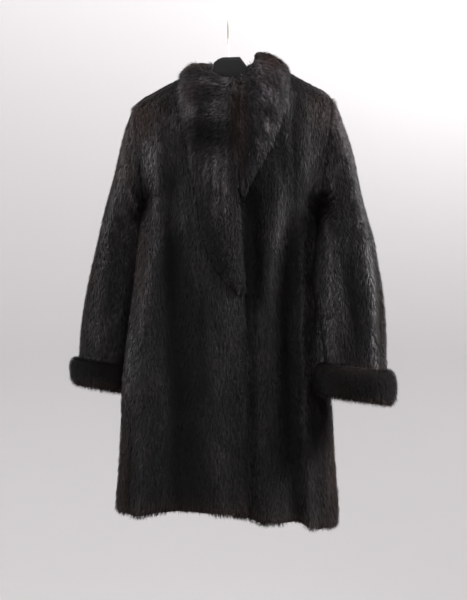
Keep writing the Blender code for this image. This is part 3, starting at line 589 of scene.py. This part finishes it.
def pelt_shell(node, others):
    """A smooth copy of a CAD piece whose faces know their side by their material."""
    mesh = bmesh.new()
    mesh.from_mesh(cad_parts[node].data)
    bmesh.ops.remove_doubles(mesh, verts=mesh.verts, dist=MERGE)
    bmesh.ops.join_triangles(
        mesh, faces=mesh.faces, angle_face_threshold=math.radians(60), angle_shape_threshold=math.pi
    )
    mesh.normal_update()
    tree = BVHTree.FromBMesh(mesh)
    sides = [side_of(face, node, tree) for face in mesh.faces]
    for face, side in zip(mesh.faces, sides):
        face.material_index = side
        face.smooth = True
    # Sewn edges stay where they are, so that no light falls through a seam.
    sewn = {vertex for vertex in mesh.verts if others.find_nearest(vertex.co, SEWN)[3] is not None}
    crease = mesh.edges.layers.float.new("crease_edge")
    for edge in mesh.edges:
        if all(vertex in sewn for vertex in edge.verts) and edge.calc_face_angle(0.0) > SHARP:
            edge[crease] = 1.0
    shell = new_object(node + "_pelt", mesh, None, None, None)
    smooth = shell.modifiers.new("Smooth", "SUBSURF")
    smooth.levels = smooth.render_levels = 1
    return applied(shell)


def numbers(data, label, width, kind=float):
    """What each vertex, corner or face of a mesh keeps under a label, in rows of the given width."""
    found = np.empty(len(data) * width, kind)
    data.foreach_get(label, found)
    return found.reshape(-1, width) if width > 1 else found


def all_cloth(skip):
    """The surfaces of every CAD piece but one, for finding what lies on a pelt."""
    mesh = bmesh.new()
    for name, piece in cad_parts.items():
        if name != skip and not name.startswith("hanger"):
            mesh.from_mesh(piece.data)
    tree = BVHTree.FromBMesh(mesh)
    mesh.free()
    return tree


def crease_at(creases, x, z):
    """How far the creases move places out, and how much lighter or darker their painted highlight and shade
    make the hair there.
    """
    out_sum, painted_light_sum = np.zeros(len(x)), np.zeros(len(x))
    for crease in creases:
        length = crease.top_z - crease.foot_z
        fade = min(CREASE_FADE, 0.6 * length)
        share = np.clip((crease.top_z - z) / length, 0.0, 1.0)
        sway = 0.0025 * np.sin(31 * z + 90 * crease.top_x)
        swell = 1 + 0.25 * np.sin(19 * z + 40 * crease.top_x)
        middle = crease.top_x + (crease.foot_x - crease.top_x) * share + sway
        start = np.clip((crease.top_z - z) / fade + 1, 0.0, 1.0)
        end = np.clip((z - crease.foot_z) / fade + 1, 0.0, 1.0)
        near = start * end * np.exp(-(((x - middle) / (crease.half * swell)) ** 2))
        out_sum += crease.out * near
        painted_light_sum += crease.tone * near
    return out_sum, painted_light_sum


def creases_of(node):
    if node.startswith("cuff"):
        return ()
    if node.startswith("sleeve"):
        return SLEEVE_CREASES[node]
    return BACK_CREASES if node == "back" else FRONT_CREASES


def combing(node, place):
    """Which way the hair is combed at a place."""
    x, _, z = place
    if node == "collar_right":
        # Outwards from the neck, straight down on the lapel, and forwards at the front edge.
        low = faded((-0.250, -0.400), z)
        edge = min(1.0, max(0.0, x / FRONT_EDGE)) * (1 - low)
        return Vector((-0.95 + 0.87 * low + 1.6 * edge, -0.10, -0.45 - 0.50 * low - 0.3 * edge))
    if node == "collar_left":
        low = faded((-0.160, -0.340), z)
        return Vector((0.70 - 0.60 * low, -0.10, -0.80))
    if node.startswith("sleeve"):
        outward = -1 if node.endswith("right") else 1
        return Vector((outward * (0.30 if z > ELBOW else 0.10), 0.0, -1.0))
    if node.startswith("cuff"):
        return Vector((0.0, 0.0, -1.0))
    # Down, and above the chest also away from the shoulder's seam.
    face = 1 if node == "back" else -1
    above = min(1.0, max(0.0, (z - SHOULDER) / SHOULDER_RISE))
    return Vector((0.0, 0.35 * face * above, -1.0))


def faded(fade, z):
    """How far below a stretch of height places are: 0 above it, 1 below it."""
    share = np.clip((fade[0] - z) / (fade[0] - fade[1]), 0.0, 1.0)
    return share * share * (3 - 2 * share)


def shown(spot, x, z):
    """How strongly a soft spot shows at places: fully at its middle and hardly beyond its rim."""
    return spot.amount * np.exp(-(((x - spot.x) / spot.half_x) ** 2) - ((z - spot.z) / spot.half_z) ** 2)


def above_hem(node, places, at_edge, reach):
    """How near places are to a piece's lower edge: 1 at it, and 0 at a given height above it."""
    low = at_edge & (places[:, 2] < LOWEST_RIM[node[:4]])
    heights = {}
    for column, z in zip(np.round(places[low, 0] / HEM_COLUMN), places[low, 2]):
        heights[column] = min(z, heights.get(column, 0.0))
    columns = sorted(heights)
    across = [column * HEM_COLUMN for column in columns]
    hem = np.interp(places[:, 0], across, [heights[column] for column in columns])
    return np.clip(1 - (places[:, 2] - hem) / reach, 0.0, 1.0)


def growth_at(node, places, sides):
    """How large, upright, wavy and brown the hair of a piece is at places."""
    x, z = places[:, 0], places[:, 2]
    wavy = np.ones(len(x))
    warm = np.max([shown(tint, x, z) for tint in TINTS], axis=0)
    if node.startswith("collar"):
        wavy = 1 - LAPEL_STRAIGHT * faded(LAPEL_FADE, z)
        return 1 - FOOT_SHORT * faded(FOOT_FADE, z), np.ones(len(x)), wavy, warm
    if node.startswith("cuff"):
        fringe = above_hem(node, places, sides[OUTER], CUFF_FRINGE)
        return 1 + CUFF_LONG * fringe, 1 + CUFF_STAND * fringe, wavy, warm
    # Longer hair that stands off fills the armpits.
    armpit = shown(ARMPIT, np.abs(x), z)
    size, stand = 1 + ARMPIT_LONG * armpit, 1 + ARMPIT_STAND * armpit
    if node in PANELS:
        near = above_hem(node, places, sides[RIM] & ~sides[INNER], HEM_HAIR)
        size = size - HEM_SHORT * near
        stand = stand * (1 + HEM_STAND * near**4)
        warm = np.maximum(warm, HEM_BROWN * near)
    return size, stand, wavy, warm


def sides_of_vertices(data):
    """Which sides of a pelt its vertices are on, and their way out on the hair side or the rim."""
    count = len(data.vertices)
    sides = np.full((3, count), False)
    normals = np.zeros((3, count, 3))
    for polygon in data.polygons:
        side = polygon.material_index
        push = np.array(polygon.normal) * polygon.area
        for vertex in polygon.vertices:
            sides[side, vertex] = True
            normals[side, vertex] += push
    ways = np.where(sides[OUTER][:, None], normals[OUTER], normals[RIM])
    return sides, ways / np.maximum(np.linalg.norm(ways, axis=1), 1e-12)[:, None]


def note(data, label, values, kind="FLOAT"):
    """Keeps a number or a vector for every vertex."""
    layer = data.attributes.new(label, kind, "POINT")
    layer.data.foreach_set("value" if kind == "FLOAT" else "vector", values.ravel())


def dress_shell(shell, node, others):
    """Presses the creases in, draws the skin in below the hair and works out how hair grows."""
    data = shell.data
    places = numbers(data.vertices, "co", 3)
    x, z = places[:, 0], places[:, 2]
    sides, ways = sides_of_vertices(data)
    size, stand, wavy, warm = growth_at(node, places, sides)
    hair, lift, foot, steps = (np.zeros(len(places)) for _ in range(4))
    if not node.startswith("collar"):
        steps = crease_at(creases_of(node), x, z)[0]
    if node == "collar_right":
        foot = faded(FOOT_FADE, z)
    thin = COLLAR_THIN if node.startswith("collar") else THIN
    moved = places.copy()
    for k in np.flatnonzero(sides[OUTER] | sides[RIM]):
        place, normal = Vector(places[k]), Vector(ways[k])
        found = others.ray_cast(place + normal * 0.0001, normal, NEIGHBOUR)
        room = NEIGHBOUR if found[3] is None else found[3]
        if not sides[INNER][k]:
            hair[k] = min(1.0, max(0.0, (room - thin / 3) / thin))
        lift[k] = min(1.0, 0.25 + room / ROOM) * stand[k]
        seam = others.find_nearest(place, SEAM_REACH)[3]
        apart = 1.0 if seam is None else seam / SEAM_REACH
        if place.z > SHOULDER and not node.startswith(("cuff", "collar")):
            size[k] *= 0.55 + 0.45 * apart
            lift[k] *= 0.35 + 0.65 * apart
        press = (INNER_PRESS if sides[INNER][k] else 1.0) * min(1.0, room / ROOM) * apart
        inward = along_seam(others, place, ways[k])
        if foot[k] > 0:
            # The lapel's foot is pressed flat on the front below it.
            press += foot[k] * (FOOT_PRESS * apart - press)
            inward = (1 - foot[k]) * inward + foot[k] * np.array((0.0, -1.0, 0.0))
        moved[k] = places[k] + inward * (steps[k] - HAIR[node].inset * press)
    data.vertices.foreach_set("co", moved.ravel())
    for label, values in zip(GROWTH, (hair, lift, size, wavy, warm)):
        note(data, label, values)
    note(data, "comb", np.array([combing(node, place) for place in places]), "FLOAT_VECTOR")
    index = numbers(data.polygons, "material_index", 1, np.int32)
    data.polygons.foreach_set("material_index", (index == INNER).astype(np.int32))
    data.update()
    return hair


def along_seam(others, place, way):
    """The way a point of the skin moves in: at a seam, only along the edge it is sewn to."""
    _, normal, _, near = others.find_nearest(place, SEWN)
    if near is None:
        return way
    normal = np.array(normal)
    return way - normal * float(way @ normal)


def paint_light_and_shade(data, node):
    """Paints light and shade into the hair: lighter or darker for the creases and spots that it lies in."""
    x, _, z = numbers(data.vertices, "co", 3).T
    tone = crease_at(creases_of(node), x, z)[1]
    if node.startswith("collar"):
        tone = (tone - LAPEL_DARKER) * faded(LAPEL_FADE, z)
    for patch in LIGHT_AND_SHADE_SPOTS.get(node, ()):
        tone += shown(patch, x, z)
    note(data, "shade", np.clip(tone, *SHADE_RANGE))


# ---------------------------------------------------------------- hair
def lock_of_hair():
    """One lock: a narrow blade, bowed away from the skin, from a point to a point."""
    name = "lock_of_hair"
    if name in bpy.data.objects:
        return bpy.data.objects[name]
    mesh = bmesh.new()
    bmesh.ops.create_grid(mesh, x_segments=1, y_segments=2, size=0.5)
    for vertex in mesh.verts:
        if abs(vertex.co.y) < 0.25:
            vertex.co = Vector((vertex.co.x, LOCK_BOW, LOCK_MIDDLE))
        else:
            vertex.co = Vector((0.0, 0.0, round(vertex.co.y + 0.5)))
    bmesh.ops.remove_doubles(mesh, verts=mesh.verts, dist=0.01)
    bmesh.ops.triangulate(mesh, faces=mesh.faces)
    for face in mesh.faces:
        face.normal_update()
        if face.normal.y < 0:
            face.normal_flip()
        face.smooth = True
    layer = mesh.verts.layers.float.new("along")
    for vertex in mesh.verts:
        vertex[layer] = vertex.co.z
    return new_object(name, mesh)


def combed_fur():
    """The node tree that grows locks on a pelt along its combing."""
    name = "combed_fur"
    if name in bpy.data.node_groups:
        return bpy.data.node_groups[name]
    tree = bpy.data.node_groups.new(name, "GeometryNodeTree")
    tree.interface.new_socket("Geometry", in_out="INPUT", socket_type="NodeSocketGeometry")
    for label, kind in (
        ("Lock", "Object"), ("Locks per area", "Float"), ("Length", "Float"), ("Width", "Float"),
        ("Lift", "Float"), ("Wave", "Float"), ("Roll", "Float"), ("Seed", "Int"),
    ):  # fmt: skip
        tree.interface.new_socket(label, in_out="INPUT", socket_type="NodeSocket" + kind)
    tree.interface.new_socket("Geometry", in_out="OUTPUT", socket_type="NodeSocketGeometry")
    given, result = tree.nodes.new("NodeGroupInput"), tree.nodes.new("NodeGroupOutput")

    def named(label, kind="FLOAT"):
        return out(put(tree, "GeometryNodeInputNamedAttribute", label, data_type=kind))

    def random(low, high, seed, kind="FLOAT"):
        node = put(tree, "FunctionNodeRandomValue", low, high, data_type=kind)
        return out(filled(tree, node, Seed=seed))

    def vectors(operation, *values):
        return out(put(tree, "ShaderNodeVectorMath", *values, operation=operation))

    def scaled(vector, factor):
        node = put(tree, "ShaderNodeVectorMath", vector, operation="SCALE")
        return out(filled(tree, node, Scale=factor))

    scatter = tree.nodes.new("GeometryNodeDistributePointsOnFaces")
    density = maths(tree, "MULTIPLY", named("hair"), given.outputs["Locks per area"])
    filled(tree, scatter, Mesh=given.outputs["Geometry"], Density=density, Seed=given.outputs["Seed"])
    normal = scatter.outputs["Normal"]
    place = out(put(tree, "GeometryNodeInputPosition"))

    def ripple(size, amount):
        pattern = tree.nodes.new("ShaderNodeTexNoise")
        filled(tree, pattern, Vector=place, Scale=1 / size, Detail=1.0)
        return scaled(vectors("SUBTRACT", pattern.outputs["Color"], (0.5, 0.5, 0.5)), amount)

    # The combing, with waves of two sizes and a little disorder, laid along the skin.
    combed = vectors("NORMALIZE", named("comb", "FLOAT_VECTOR"))
    wave = maths(tree, "MULTIPLY", given.outputs["Wave"], named("wavy"))
    combed = vectors("ADD", combed, scaled(ripple(0.030, 2.0), wave))
    combed = vectors("ADD", combed, scaled(ripple(0.009, 1.5), wave))
    stray = random((-1, -1, -1), (1, 1, 1), 3, "FLOAT_VECTOR")
    combed = vectors("ADD", combed, scaled(stray, maths(tree, "MULTIPLY", wave, 0.45)))
    off_skin = scaled(normal, vectors("DOT_PRODUCT", combed, normal))
    flat = vectors("NORMALIZE", vectors("SUBTRACT", combed, off_skin))

    # Raised from the skin, and rolled a little about its own length.
    angle = maths(tree, "MULTIPLY", given.outputs["Lift"], named("lift"))
    angle = maths(tree, "RADIANS", maths(tree, "MULTIPLY", angle, random(0.45, 1.55, 4)))
    upright = scaled(normal, maths(tree, "SINE", angle))
    way = vectors("ADD", scaled(flat, maths(tree, "COSINE", angle)), upright)
    roll = maths(tree, "MULTIPLY", given.outputs["Roll"], random(-1.0, 1.0, 5))
    turn = put(tree, "ShaderNodeVectorRotate", rotation_type="AXIS_ANGLE")
    across = vectors("CROSS_PRODUCT", normal, way)
    filled(tree, turn, Vector=across, Axis=way, Angle=maths(tree, "RADIANS", roll))
    lay = put(tree, "FunctionNodeAxesToRotation", way, turn.outputs[0], primary_axis="Z", secondary_axis="X")

    size = maths(tree, "MULTIPLY", given.outputs["Length"], named("size"))
    size = maths(tree, "MULTIPLY", size, random(0.60, 1.20, 6))
    broad = maths(tree, "MULTIPLY", given.outputs["Width"], random(0.65, 1.35, 8))
    shape = put(tree, "ShaderNodeCombineXYZ", broad, size, size)
    lock = put(tree, "GeometryNodeObjectInfo", given.outputs["Lock"]).outputs["Geometry"]
    grown = tree.nodes.new("GeometryNodeInstanceOnPoints")
    filled(tree, grown, Points=scatter.outputs["Points"], Instance=lock)
    filled(tree, grown, Rotation=lay.outputs[0], Scale=shape.outputs[0])
    toned = put(tree, "GeometryNodeStoreNamedAttribute", domain="INSTANCE")
    filled(tree, toned, Geometry=grown.outputs["Instances"], Name="tone", Value=random(0.0, 1.0, 9))
    real = put(tree, "GeometryNodeRealizeInstances", toned.outputs["Geometry"])
    wire_in(tree, result.inputs[0], real.outputs[0])
    return tree


def area_with_hair(data, hair):
    """The area that hair grows on, where thin hair counts for its share."""
    return sum(polygon.area * np.mean([hair[v] for v in polygon.vertices]) for polygon in data.polygons)


def lay_out_locks(data, locks):
    """Gives each lock a cell of its own in the UV map OFBake."""
    loops = len(data.loops) // locks
    across = math.ceil(math.sqrt(locks))
    lock = np.arange(len(data.loops)) // loops
    corners = numbers(data.loops, "vertex_index", 1, np.int32)
    along = numbers(data.attributes["along"].data, "value", 1)[corners]
    # Of a lock's two broad corners, one lies at the right of its cell and the other at the left.
    broad = np.where(np.abs(along - LOCK_MIDDLE) < 0.1, corners, -1).reshape(-1, loops)
    right = broad.max(axis=1)[:, None]
    sideways = np.where(broad < 0, 0.5, np.where(broad == right, 0.88, 0.12)).ravel()
    u = (lock % across + sideways) / across
    v = (lock // across + 0.08 + 0.84 * along) / across
    layer = data.uv_layers.new(name="OFBake")
    layer.data.foreach_set("uv", np.column_stack((u, v)).astype(np.float32).ravel())


def grow_hair(shell, node, hair, sizes):
    """The hair of one pelt, as its own piece."""
    coat = HAIR[node]
    piece = bpy.data.objects.new(node + "_hair", shell.data.copy())
    bpy.context.scene.collection.objects.link(piece)
    growth = piece.modifiers.new("Growth", "NODES")
    growth.node_group = combed_fur()
    values = {
        "Lock": lock_of_hair(),
        "Locks per area": coat.locks * sizes.thickness / area_with_hair(shell.data, hair),
        "Length": coat.length * sizes.length,
        "Width": coat.width * sizes.width,
        "Lift": float(coat.lift),
        "Wave": coat.wave,
        "Roll": LOCK_ROLL,
        "Seed": sizes.seed + len(node),
    }
    for item in growth.node_group.interface.items_tree:
        if item.in_out == "INPUT" and item.name in values:
            growth[item.identifier] = values[item.name]
    data = applied(piece).data
    for label in ("hair", "lift", "size", "wavy", "comb", "id"):
        if label in data.attributes:
            data.attributes.remove(data.attributes[label])
    data.materials.clear()
    data.materials.append(hair_finish(node, sizes))
    data.shade_smooth()
    paint_light_and_shade(data, node)
    lay_out_locks(data, len(data.polygons) // LOCK_PARTS)
    return piece


def hair_finish(node, sizes):
    if node.startswith("cuff"):
        return material_once(hair_material, "cuff_hair", sizes, lightness=0.8, specular=0.10, contrast=0.6)
    if node.startswith("collar"):
        return material_once(hair_material, "collar_hair", sizes, lightness=1.4, specular=0.13, contrast=1.7)
    return material_once(hair_material, "coat_hair", sizes)


def make_pelt(node):
    """One cut piece of the coat: its pelt and the hair on it."""
    sizes = bpy.context.scene.coat_hair
    others = all_cloth(node)
    shell = pelt_shell(node, others)
    hair = dress_shell(shell, node, others)
    shell.data.materials.clear()
    shell.data.materials.append(material_once(underfur_material, "underfur", sizes))
    shell.data.materials.append(material_once(inside_material, "inside_cloth", sizes))
    locks = grow_hair(shell, node, hair, sizes)
    for label in (*GROWTH, "comb"):
        shell.data.attributes.remove(shell.data.attributes[label])
    for piece in (shell, locks):
        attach(piece, "root")
    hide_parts(node)


# ---------------------------------------------------------------- operators
class COAT_OT_body(bpy.types.Operator):
    """Make the back and the two fronts with their hair"""

    bl_idname = "coat.body"
    bl_label = "Body"

    def execute(self, context):
        for node in PANELS:
            make_pelt(node)
        return {"FINISHED"}


class COAT_OT_sleeves(bpy.types.Operator):
    """Make the two sleeves with their hair"""

    bl_idname = "coat.sleeves"
    bl_label = "Sleeves"

    def execute(self, context):
        for node in ("sleeve_right", "sleeve_left"):
            make_pelt(node)
        return {"FINISHED"}


class COAT_OT_cuffs(bpy.types.Operator):
    """Make the turned-back cuffs with their dense short hair"""

    bl_idname = "coat.cuffs"
    bl_label = "Cuffs"

    def execute(self, context):
        for node in ("cuff_right", "cuff_left"):
            make_pelt(node)
        return {"FINISHED"}


class COAT_OT_collar(bpy.types.Operator):
    """Make the two halves of the shawl collar with their long hair"""

    bl_idname = "coat.collar"
    bl_label = "Collar"

    def execute(self, context):
        for node in ("collar_right", "collar_left"):
            make_pelt(node)
        return {"FINISHED"}


class COAT_OT_hanger(bpy.types.Operator):
    """Finish the moulded hanger and its wire hook"""

    bl_idname = "coat.hanger"
    bl_label = "Hanger"

    def execute(self, context):
        sizes = context.scene.coat_hanger
        finishes = {
            "hanger": plastic_material("moulded_plastic", sizes),
            "hanger_hook": wire_material("drawn_wire", sizes),
        }
        for node, finish in finishes.items():
            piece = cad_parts[node]
            piece.data.materials.clear()
            piece.data.materials.append(finish)
        return {"FINISHED"}


class COAT_OT_studio(bpy.types.Operator):
    """Set up the pale backdrop, the soft lights and the camera"""

    bl_idname = "coat.studio"
    bl_label = "Studio"

    def execute(self, context):
        sizes = context.scene.coat_studio
        backdrop(sizes)
        lights(sizes)
        camera(sizes)
        return {"FINISHED"}


LOOK_AT = Vector((0.012, 0.0, -0.634))
HALF_VIEW = 0.66  # half the height that the camera sees at the coat


def backdrop(sizes):
    """One sheet of paper: a floor that curves up into a wall."""
    mesh = bmesh.new()
    bend, wall, near, depth, width = 0.9, 3.6, -4.6, 2.4, 6.0
    start = mesh.verts.new((-width, near, sizes.floor))
    line = bmesh.ops.extrude_vert_indiv(mesh, verts=[start])["verts"]
    line[0].co = Vector((-width, depth - bend, sizes.floor))
    centre = (-width, depth - bend, sizes.floor + bend)
    spun = bmesh.ops.spin(mesh, geom=line, cent=centre, axis=(1, 0, 0), angle=math.pi / 2, steps=16)
    top = [item for item in spun["geom_last"] if isinstance(item, bmesh.types.BMVert)]
    last = bmesh.ops.extrude_vert_indiv(mesh, verts=top)["verts"]
    last[0].co = Vector((-width, depth, sizes.floor + wall))
    swept = bmesh.ops.extrude_edge_only(mesh, edges=mesh.edges)
    side = [item for item in swept["geom"] if isinstance(item, bmesh.types.BMVert)]
    bmesh.ops.translate(mesh, verts=side, vec=(2 * width, 0, 0))
    bmesh.ops.recalc_face_normals(mesh, faces=mesh.faces)
    paper = new_object("backdrop", mesh, paper_material("backdrop_paper", sizes))
    paper.data.shade_smooth()


Lamp = namedtuple("Lamp", "name place aim size spread power")


def lights(sizes):
    """One light at each sleeve, a soft one in front, two on the wall, and a little all round."""
    chest = (0.02, 0.0, -0.35)
    for lamp in (
        Lamp("light_left_sleeve", (2.0, -0.3, 0.8), chest, 1.1, 80, sizes.key),
        Lamp("light_right_sleeve", (-2.0, -0.3, 0.7), chest, 1.1, 80, sizes.side),
        Lamp("light_front", (0.5, -2.8, 1.3), chest, 2.0, 180, sizes.fill),
        Lamp("light_backdrop", (1.2, 1.4, 1.4), (1.0, 2.4, 0.6), 0.8, 180, sizes.wall),
        Lamp("light_backdrop_left", (-0.9, 1.0, 1.7), (-0.6, 2.4, 0.6), 0.9, 180, sizes.wall_left),
    ):
        data = bpy.data.lights.new(lamp.name, "AREA")
        data.shape = "SQUARE"
        data.size = lamp.size
        data.spread = math.radians(lamp.spread)
        data.energy = lamp.power
        made = bpy.data.objects.new(lamp.name, data)
        made.location = lamp.place
        made.rotation_euler = (Vector(lamp.aim) - made.location).to_track_quat("-Z", "Y").to_euler()
        bpy.context.scene.collection.objects.link(made)
    world = bpy.data.worlds.new("studio")
    world.use_nodes = True
    all_round = world.node_tree.nodes["Background"]
    filled(world.node_tree, all_round, Color=(0.98, 0.98, 1.0, 1.0), Strength=sizes.ambient)
    bpy.context.scene.world = world


def camera(sizes):
    data = bpy.data.cameras.new("camera")
    data.sensor_fit = "VERTICAL"
    data.angle = 2 * math.atan(HALF_VIEW / sizes.distance)
    made = bpy.data.objects.new("camera", data)
    made.location = LOOK_AT + Vector((0, -sizes.distance, 0))
    made.rotation_euler = (math.pi / 2, 0, 0)
    bpy.context.scene.collection.objects.link(made)
    bpy.context.scene.camera = made
    bpy.context.scene.view_settings.view_transform = "Standard"


class COAT_PT_panel(bpy.types.Panel):
    """Sizes, colours and pieces of the coat"""

    bl_label = "Fur Coat"
    bl_idname = "COAT_PT_panel"
    bl_space_type = "VIEW_3D"
    bl_region_type = "UI"
    bl_category = "Fur Coat"

    def draw(self, context):
        scene = context.scene
        for group in (scene.coat_hair, scene.coat_hanger, scene.coat_studio):
            box = self.layout.box()
            for label in group.bl_rna.properties.keys():
                if label not in ("rna_type", "name"):
                    box.prop(group, label)
        for operator in PIECES:
            self.layout.operator(operator.bl_idname)


PIECES = (COAT_OT_body, COAT_OT_sleeves, COAT_OT_cuffs, COAT_OT_collar, COAT_OT_hanger, COAT_OT_studio)
CLASSES = (HairSizes, HangerSizes, StudioSizes, *PIECES, COAT_PT_panel)


def register():
    for item in CLASSES:
        bpy.utils.register_class(item)
    bpy.types.Scene.coat_hair = PointerProperty(type=HairSizes)
    bpy.types.Scene.coat_hanger = PointerProperty(type=HangerSizes)
    bpy.types.Scene.coat_studio = PointerProperty(type=StudioSizes)


def unregister():
    del bpy.types.Scene.coat_hair
    del bpy.types.Scene.coat_hanger
    del bpy.types.Scene.coat_studio
    for item in reversed(CLASSES):
        bpy.utils.unregister_class(item)


def main():
    register()
    for operator in PIECES:
        name = operator.bl_idname.split(".")[1]
        getattr(bpy.ops.coat, name)()
    bpy.data.objects.remove(bpy.data.objects["lock_of_hair"])


if __name__ == "__main__":
    main()
